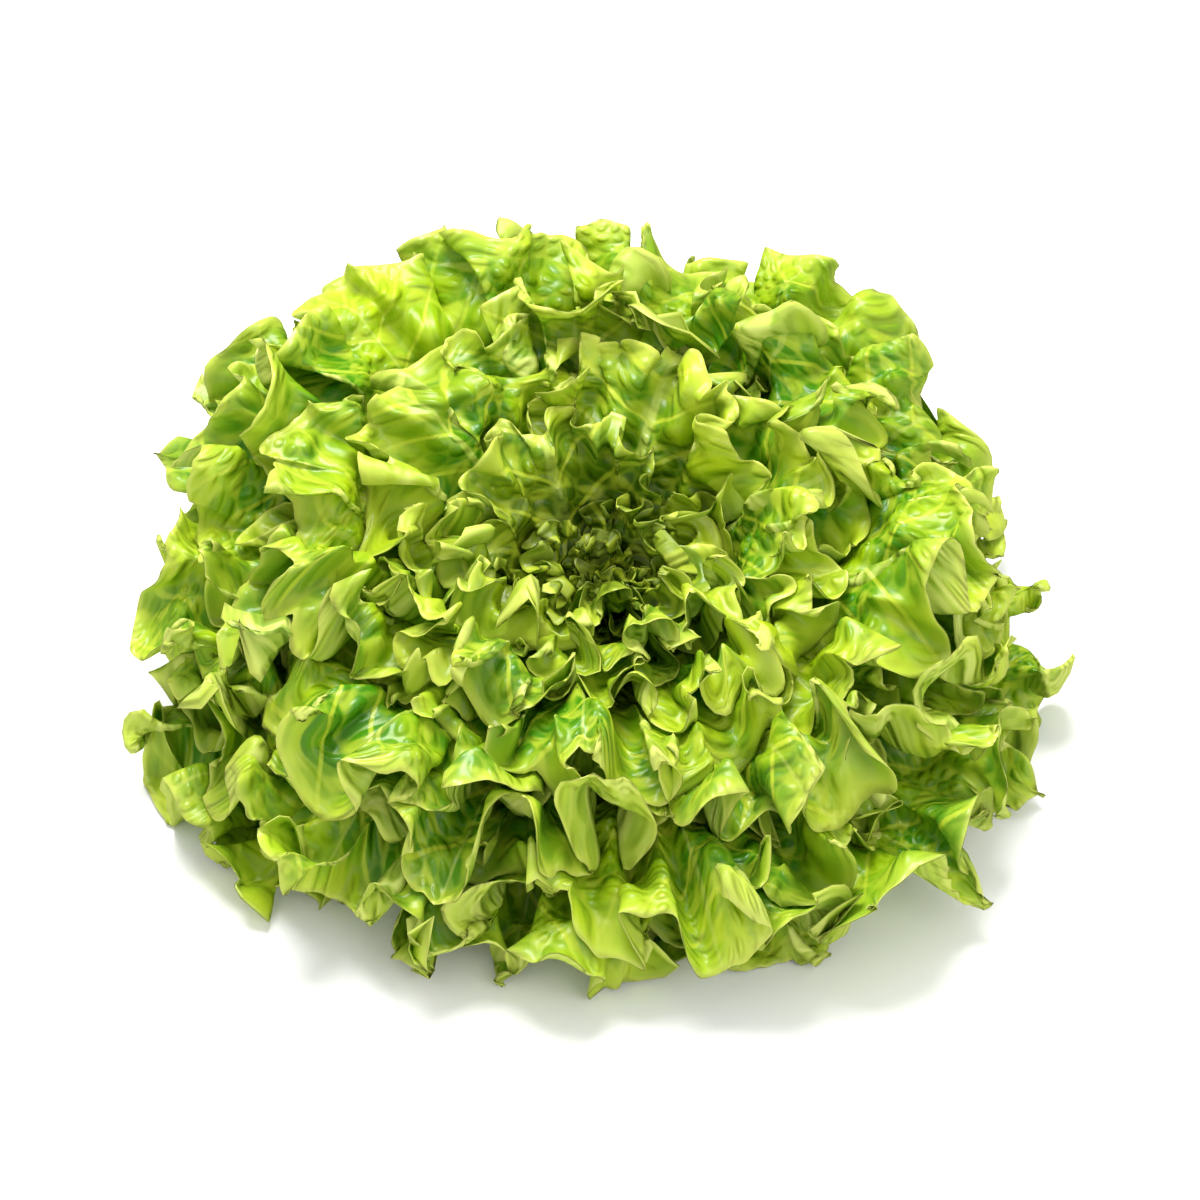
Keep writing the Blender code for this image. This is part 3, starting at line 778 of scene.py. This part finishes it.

# Where the colours of a leaf go and how much of each, and its relief. Lengths in the plane of the leaf are in
# millimetres, and heartHeight, the two ends of the heart's painted shade and reliefHeight in metres. Pairs of
# ends are soft steps
leafFinish = {
    "cloud": (28.0, 2.0, 0.6),
    "cloudEnds": (0.34, 0.66),
    "cloudShare": 0.65,
    "cellEnds": (-0.5, 2.6),
    "cellShare": 0.25,
    "leafMiddle": 0.4,
    "leafShare": 0.3,
    "marginMiddle": 0.38,
    # Lighter towards the margin and darker away from it: the leaf's own paler margin, and painted shade
    # between the leaves
    "marginLightAndInnerShade": 0.55,
    # Where the dark olive of young tissue and painted shade covers the leaves round the heart, and how much
    "heartHeight": 0.040,
    "heartShadeFrom": 0.024,
    "heartShadeTo": 0.052,
    "oliveAndShade": 0.80,
    "under": {"outer_leaf": 0.50, "middle_leaf": 0.40, "inner_leaf": 0.22, "heart_leaf": 0.04},
    "fineScale": 2.7,
    "fineBend": 0.25,
    "fineBendAcross": 4.3,
    "fineBendAlong": 4.7,
    "threadEnds": (-1.25, -0.6),
    "threadShare": 0.20,
    "veinEnds": (-1.32, -0.80),
    "veinShare": 0.55,
    "forkLength": 15,
    "forkSlant": 0.85,
    "forkBend": 0.10,
    "forkBendAlong": 1.1,
    "forkBendAcross": 0.7,
    "forkEnds": (0.90, 1.0),
    "forkReach": (8, 50),
    "forkShare": 0.75,
    "underVeins": (0.5, 0.4, 0.15),
    "marginShare": 0.22,
    # A thin pale rim at the very margin: the edge's own paler colour and a painted highlight on the cut edge
    "rimPaleAndHighlight": 0.75,
    "rimPower": 7.0,
    # How much of the pale margin is kept inside the heart's painted shade
    "marginInHeartShade": 0.20,
    "ribWidth": 0.6,
    "ribFootWidth": 4.0,
    "ribTaper": (15, 110),
    "ribEnds": (0.45, 1.0),
    "ribFadeEnds": (40, 120),
    "ribFade": 0.5,
    # How much of the pale rib is kept inside the heart's painted shade and outside it
    "ribInHeartShade": 0.3,
    "ribOutsideHeartShade": 0.6,
    "reliefEnds": (-1.3, 2.8),
    "reliefShares": (0.60, 0.34, 0.05),
    "reliefHeight": 0.0018,
    "underRelief": 2.6,
    "roughness": 0.36,
    "underRoughness": 0.48,
    "cloudRoughening": 0.2,
    "specular": 0.55,
    "glow": 0.22,
}


# A leaf's finish. Green is mottled between deep and bright by clouds, cells and the leaf's shift, and is
# lighter
# near the margin and darker away from it: partly the leaf's own paler margin, partly painted shade between the
# leaves. It is mixed with a dark olive near the heart, which is young tissue's colour and painted shade of the
# hollow there, and which also dims the pale underside, margin and rib there; then with a paler green
# underneath, and the pale colours of threads, veins, the rib's forks, the margin, whose thin rim is partly a
# painted highlight, and the rib. Cells bulge on the upper side and sink on the underside
def leafMaterial(name):
    look = leafFinish
    colours = dict(zip(("deep", "bright", "margin"), leafLooks[name]), **sharedLooks)
    paint = {key: (*value, 1.0) for key, value in colours.items()}
    youngest = tuple(float(v) for v in toWorld(np.array([0.0, 0.0, look["heartHeight"]])))
    material, start = emptyMaterial(name)
    near = start.add("ShaderNodeTexCoord", output="Object")
    plane = start.add("ShaderNodeUVMap", {"uv_map": "leafPlane"})
    x, y = (part * (planeUnit * 1000) for part in plane.parts("ShaderNodeSeparateXYZ")[:2])
    traits = start.add("ShaderNodeVertexColor", {"layer_name": "traits"})
    margin, under, shift = traits.parts("ShaderNodeSeparateColor")

    cell = network["cell"] * 1000
    across, along = x / cell + shift * network["sidewaysOfLeaf"], y / cell
    bentAcross, bentAlong = bentWires(across, along)
    net = netWires(bentAcross, bentAlong)
    fineAcross = bentAcross * look["fineScale"] + (along * look["fineBendAcross"]).sine() * look["fineBend"]
    fineAlong = bentAlong * look["fineScale"] + (across * look["fineBendAlong"]).sine() * look["fineBend"]
    fineNet = netWires(fineAcross, fineAlong)
    veins = 1 - net.step(*look["veinEnds"])
    threads = 1 - fineNet.step(*look["threadEnds"])
    forkBend = (along * look["forkBendAlong"] + across * look["forkBendAcross"]).sine() * look["forkBend"]
    forks = (y - x.size() * look["forkSlant"]) / look["forkLength"] + forkBend
    laterals = (forks * (2 * math.pi)).cosine().step(*look["forkEnds"])
    laterals = laterals * (1 - x.size().step(*look["forkReach"]))
    ribWidth = look["ribWidth"] + look["ribFootWidth"] * (1 - y.step(*look["ribTaper"]))
    midrib = 1 - (x.size() / ribWidth).step(*look["ribEnds"])
    cloud = noise(near, look["cloud"])
    # Painted shade round the heart: 0 at the heart, 1 clear of it
    fromHeart = start.add("ShaderNodeVectorMath", {"operation": "DISTANCE"}, {0: near, 1: youngest}, "Value")
    outsideHeartShade = fromHeart.step(look["heartShadeFrom"], look["heartShadeTo"])

    bright = cloud.step(*look["cloudEnds"]) * look["cloudShare"]
    bright = bright + net.step(*look["cellEnds"]) * look["cellShare"]
    bright = bright + (shift - look["leafMiddle"]) * look["leafShare"]
    # Darker away from the margin: painted shade between the leaves, with the leaf's own paler margin
    bright = bright + (margin - look["marginMiddle"]) * look["marginLightAndInnerShade"]
    colour = bright.colours(paint["deep"], paint["bright"])
    # Dark olive near the heart, young tissue and painted shade; the paler underside and its veins are held
    # back there
    colour = ((1 - outsideHeartShade) * look["oliveAndShade"]).colours(colour, paint["oliveAndShade"])
    colour = (under * outsideHeartShade * look["under"][name]).colours(colour, paint["under"])
    colour = (threads * look["threadShare"]).colours(colour, paint["vein"])
    colour = (veins * look["veinShare"]).colours(colour, paint["vein"])
    colour = (laterals * look["forkShare"]).colours(colour, paint["vein"])
    underLines = sum(line * share for line, share in zip((veins, laterals, threads), look["underVeins"]))
    colour = (under * outsideHeartShade * underLines).colours(colour, paint["underVein"])
    # Pale margin, whose thin rim is partly a painted highlight, dimmed inside the heart's painted shade
    pale = margin * look["marginShare"] + margin ** look["rimPower"] * look["rimPaleAndHighlight"]
    pale = pale * (look["marginInHeartShade"] + outsideHeartShade * (1 - look["marginInHeartShade"]))
    colour = pale.colours(colour, paint["margin"])
    onRib = midrib * (1 - y.step(*look["ribFadeEnds"]) * look["ribFade"])
    # The pale rib, dimmed in the heart's painted shade
    onRib = onRib * (look["ribInHeartShade"] + outsideHeartShade * look["ribOutsideHeartShade"])
    colour = onRib.colours(colour, paint["rib"])

    cells, fineCells, sunk = look["reliefShares"]
    relief = net.step(*look["reliefEnds"]) * cells + fineNet.step(*look["reliefEnds"]) * fineCells
    height = (relief - laterals * sunk) * (1 - under * look["underRelief"])
    bumps = {"Strength": 1.0, "Distance": look["reliefHeight"], "Height": height}
    bump = start.add("ShaderNodeBump", sockets=bumps)
    rough = look["roughness"] + under * (look["underRoughness"] - look["roughness"])
    rough = rough + (cloud - 0.5) * look["cloudRoughening"]
    finish = {"Base Color": colour, "Roughness": rough, "Normal": bump}
    finish["Specular IOR Level"] = look["specular"]
    surface = start.add("ShaderNodeBsdfPrincipled", sockets=finish)
    glow = start.add("ShaderNodeBsdfTranslucent", sockets={"Color": paint["glow"]})
    start.add("ShaderNodeMixShader", sockets={0: look["glow"], 1: surface, 2: glow}).show()
    return material


# The heart's small leaves, curled round the axis. Pairs go from the outermost leaf to the innermost. A wave is
# a number of turns, a shift by leaf and an amount
heart = {
    "seedStart": 2000,
    "leaves": 9,
    "columns": 78,
    "lines": 14,
    "halfTurn": 88.0,
    "foot": (0.0036, 0.0006),
    "rim": (0.0098, 0.0014),
    "height": (0.0225, 0.0160),
    "start": 0.0020,
    "blade": 0.00034,
    "flare": 1.2,
    "wave": 0.0030,
    "waves": ((6, 5, 0.75), (11, 7, 0.40)),
    "innerCalm": 0.65,
    "lobe": 0.88,
    "lobeSpread": 0.08,
    "lobeCycles": (1, 2.5),
    "sideShortening": 0.3,
    "droop": 0.26,
    "marginBand": 0.004,
    "planeStretch": 1.2,
    "planeStart": 0.03,
    "shiftOfLeaf": 0.09,
    "coreOutline": ((0.0, 0.0120), (0.0022, 0.0102), (0.0043, 0.0010), (0.0040, -0.0010), (0.0, -0.0010)),
    "coreRings": 25,
    "coreSteps": 40,
}


# The heart's leaves round their core. A radius grows from the foot to the rim by a power of the place along,
# with waves times its cube, and the rise droops by the cube too
def heartPiece(material):
    columns, lines = np.linspace(-1, 1, heart["columns"]), np.linspace(0, 1, heart["lines"])
    across, along = np.meshgrid(columns, lines, indexing="ij")
    pieces = []
    for n in range(heart["leaves"]):
        draw = np.random.default_rng([head["seed"], heart["seedStart"] + n])
        inner = n / (heart["leaves"] - 1)
        foot, rim, height = (np.interp(inner, (0, 1), heart[key]) for key in ("foot", "rim", "height"))
        turn = math.radians(n * head["goldenAngle"]) + math.radians(heart["halfTurn"]) * across
        wave = sum(np.sin(turns * turn + shift * inner) * share for turns, shift, share in heart["waves"])
        wave = heart["wave"] * wave * along**3 * (1 - heart["innerCalm"] * inner)
        radius = foot + (rim - foot) * along ** heart["flare"] + wave
        lobes = heart["lobe"] + heart["lobeSpread"] * ripple(draw, heart["lobeCycles"], across[:, 0])[:, None]
        shortened = 1 - heart["sideShortening"] * across**2
        rise = height * lobes * shortened * (along - heart["droop"] * along**3)
        rise = head["stemRadius"] + heart["start"] + rise
        points = toWorld(np.stack([radius * np.cos(turn), radius * np.sin(turn), rise], -1))
        half = np.full(across.shape, heart["blade"] / 2)
        margin = np.exp(-(1 - along) * height / heart["marginBand"])
        side = radius.mean() * across * heart["planeStretch"]
        plane = np.stack([side, heart["planeStart"] + rise], -1) / planeUnit
        traits = (margin, n * heart["shiftOfLeaf"])
        pieces.append(shellMesh(f"heartLeaf{n}", points, half, half, plane, traits, material))
    pieces.append(corePiece(material))
    return joined("heartLeaves", pieces)


# The heart's core: its outline's corners, with even rings between them, turned round the head's own axis
def corePiece(material):
    radii, heights = (np.array(v) for v in zip(*heart["coreOutline"]))
    heights = heights + head["stemRadius"] + head["gapToStem"]
    corners = range(len(radii))
    rings = np.linspace(0, len(radii) - 1, heart["coreRings"])
    radii, heights = np.interp(rings, corners, radii), np.interp(rings, corners, heights)
    return turnedPiece("heartCore", radii, heights, heart["coreSteps"], toWorld, material)


# A closed solid turned round the axis from an outline that begins and ends on it: rings between two poles.
# place moves its points, and it has no margin, a little of the underside's look and a middling shift
def turnedPiece(name, radii, heights, steps, place, material):
    turn = np.linspace(0, 2 * math.pi, steps, endpoint=False)
    x, y = np.outer(radii[1:-1], np.cos(turn)), np.outer(radii[1:-1], np.sin(turn))
    rings = np.stack([x, y, np.repeat(heights[1:-1, None], steps, 1)], -1)
    places = place(np.concatenate([rings.reshape(-1, 3), [[0, 0, heights[0]], [0, 0, heights[-1]]]]))
    count = len(radii) - 2
    index = np.arange(count * steps).reshape(count, steps)
    following = np.roll(index, -1, axis=1)
    quads = np.stack([index[:-1], index[1:], following[1:], following[:-1]], -1).reshape(-1, 4)
    first, last = np.full(steps, count * steps), np.full(steps, count * steps + 1)
    top, bottom = [first, index[0], following[0]], [last, following[-1], index[-1]]
    caps = np.concatenate([np.stack(top, -1), np.stack(bottom, -1)])
    triangles = np.concatenate([quads[:, [0, 1, 2]], quads[:, [0, 2, 3]], caps])
    colours = np.tile([0.0, 0.3, 0.5, 1.0], (len(places), 1))
    return meshOf(name, places, [triangles], places[:, :2] / planeUnit, colours, material)


# Several objects as one, under a new name
def joined(name, pieces):
    with bpy.context.temp_override(active_object=pieces[0], selected_editable_objects=pieces):
        bpy.ops.object.join()
    pieces[0].name = pieces[0].data.name = name
    return pieces[0]


# The stem's scars are waves down its side, scarRate radians to the metre. Its cut face is browned
stem = {"rings": 40, "steps": 80, "scarDepth": 0.0004, "scarRate": 2200, "cutRings": 13}
stemLooks = {
    "flesh": (0.72, 0.76, 0.50, 1.0),
    "pale": (0.86, 0.86, 0.68, 1.0),
    "brown": (0.42, 0.26, 0.11, 1.0),
    "cloud": (120.0, 4.0, 0.6),
    "fibres": (1400.0, 2.0, 0.5),
    "paleEnds": (0.35, 0.65),
    "brownEnds": (0.45, 0.62),
    "brownShare": 0.7,
    "cutEnds": (0.0002, 0.0012),
    "cloudRelief": 0.6,
    "fibreRelief": 0.3,
    "reliefStrength": 0.4,
    "reliefHeight": 0.0006,
    "roughness": 0.42,
    "cutRoughening": 0.2,
    "fibreRoughening": 0.2,
}


# The stem: a ball cut flat below, with shallow scars round its side
def stemPiece(material):
    radius, centre = head["stemRadius"], head["stemCentre"]
    angle = np.linspace(math.pi / 2, math.asin(-centre / radius), stem["rings"])
    side = radius * np.cos(angle)
    height = centre + radius * np.sin(angle)
    side[1:] -= stem["scarDepth"] * (0.5 + 0.5 * np.sin(height[1:] * stem["scarRate"]))
    cutRadii = side[-1] * (1 - np.linspace(0, 1, stem["cutRings"] + 1)[1:])
    radii = np.concatenate([side, cutRadii])
    heights = np.concatenate([height, np.zeros(stem["cutRings"])])
    return turnedPiece("stemButt", radii, heights, stem["steps"], lambda points: points, material)


# The stem's finish: flesh clouded with paler patches, browned in places on the cut face
def stemMaterial():
    look = stemLooks
    material, start = emptyMaterial("stem")
    near = start.add("ShaderNodeTexCoord", output="Object")
    cloud, fibres = noise(near, look["cloud"]), noise(near, look["fibres"])
    z = near.parts("ShaderNodeSeparateXYZ")[2]
    cutFace = 1 - z.step(*look["cutEnds"])
    colour = cloud.step(*look["paleEnds"]).colours(look["flesh"], look["pale"])
    browned = cutFace * cloud.step(*look["brownEnds"]) * look["brownShare"]
    colour = browned.colours(colour, look["brown"])
    height = cloud * look["cloudRelief"] + fibres * look["fibreRelief"]
    relief = {"Strength": look["reliefStrength"], "Distance": look["reliefHeight"], "Height": height}
    bump = start.add("ShaderNodeBump", sockets=relief)
    rough = look["roughness"] + cutFace * look["cutRoughening"] + (fibres - 0.5) * look["fibreRoughening"]
    finish = {"Base Color": colour, "Roughness": rough, "Normal": bump}
    start.add("ShaderNodeBsdfPrincipled", sockets=finish).show()
    return material


# A finished piece rides the one body and replaces its node
def setPiece(piece, node):
    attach(piece, "root")
    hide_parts(node)


# Camera and lights. Angles in degrees, distances in metres, the lens in millimetres and powers in watts
studio = {
    "elevation": 42.2,
    "azimuth": 5.0,
    "distance": 1.3,
    "target": (0.0, 0.0, 0.045),
    "aimUp": 0.0082,
    "lens": 125.6,
    "farEnd": 20.0,
    "floorSize": 8.0,
    "floorGrey": 0.9,
    "floorRoughness": 0.9,
    "world": 1.0,
    "lightTarget": (0, 0, 0.04),
    "keyPower": 30.0,
    "keySize": 0.85,
    "keyPlace": (-0.22, 0.40, 1.40),
    "fillPower": 5.0,
    "fillSize": 1.0,
    "fillPlace": (0.9, -0.9, 0.9),
}


# Puts a camera or light at a place, looking at a target with its top upward: its own Z points back from the
# target, its X is level, and its Y is the cross product of the two
def aimed(thing, place, target):
    back = np.array(place, float) - target
    back /= np.linalg.norm(back)
    right = np.cross([0, 0, 1], back)
    right /= np.linalg.norm(right)
    thing.location = place
    turn = np.stack([right, np.cross(back, right), back], 1)
    thing.rotation_euler = Matrix(turn.tolist()).to_euler()


# A round light aimed at the head
def areaLight(name, power, size, place):
    light = bpy.data.lights.new(name, "AREA")
    light.energy, light.size, light.shape = power, size, "DISK"
    lamp = bpy.data.objects.new(name, light)
    bpy.context.scene.collection.objects.link(lamp)
    aimed(lamp, place, np.array(studio["lightTarget"]))


# The camera stands off the target by its distance, azimuth and elevation, and is aimed a little below it, so
# that the head sits in the picture as in the photograph
def setCamera():
    e, a = math.radians(studio["elevation"]), math.radians(studio["azimuth"])
    back = np.array([math.sin(a) * math.cos(e), -math.cos(a) * math.cos(e), math.sin(e)])
    upward = np.cross(back, [math.cos(a), math.sin(a), 0.0])
    target = np.array(studio["target"])
    camera = bpy.data.objects.new("camera", bpy.data.cameras.new("camera"))
    camera.data.lens = studio["lens"]
    camera.data.clip_end = studio["farEnd"]
    bpy.context.scene.collection.objects.link(camera)
    aimed(camera, target + back * studio["distance"], target - upward * studio["aimUp"])
    bpy.context.scene.camera = camera


# A large square of pale paper, which glossy leaves don't mirror
def setFloor():
    half, grey = studio["floorSize"] / 2, studio["floorGrey"]
    mesh = bpy.data.meshes.new("floor")
    corners = [(-half, -half, 0), (half, -half, 0), (half, half, 0), (-half, half, 0)]
    mesh.from_pydata(corners, [], [(0, 1, 2, 3)])
    floor = bpy.data.objects.new("floor", mesh)
    bpy.context.scene.collection.objects.link(floor)
    paper = bpy.data.materials.new("paper")
    paper.use_nodes = True
    shader = paper.node_tree.nodes["Principled BSDF"]
    shader.inputs["Base Color"].default_value = (grey, grey, grey, 1.0)
    shader.inputs["Roughness"].default_value = studio["floorRoughness"]
    mesh.materials.append(paper)
    floor.visible_glossy = False


# A key light from above and behind, a weak fill from the front, and even white light from all round
def setLights():
    areaLight("keyLight", studio["keyPower"], studio["keySize"], studio["keyPlace"])
    areaLight("fillLight", studio["fillPower"], studio["fillSize"], studio["fillPlace"])
    world = bpy.data.worlds.new("studio")
    world.use_nodes = True
    background = world.node_tree.nodes["Background"]
    background.inputs["Color"].default_value = (1.0, 1.0, 1.0, 1.0)
    background.inputs["Strength"].default_value = studio["world"]
    world.cycles_visibility.glossy = False
    bpy.context.scene.world = world
    bpy.context.scene.view_settings.view_transform = "Standard"


leaves = [growLeaf(n) for n in range(head["leaves"])]
print("leaves grown")
pressApart(leaves)
leafSlots = ("outer_leaf", "middle_leaf", "inner_leaf")
materials = {name: leafMaterial(name) for name in leafLooks}
for number, leaf in enumerate(leaves):
    slotName = leafSlots[number * len(leafSlots) // head["leaves"]]
    setPiece(leafPiece(leaf, materials[slotName]), leaf["name"])
print("leaves made")
setPiece(heartPiece(materials["heart_leaf"]), "heart")
setPiece(stemPiece(stemMaterial()), "stem")
print("heart and stem made")
setCamera()
setFloor()
setLights()
print("studio set")
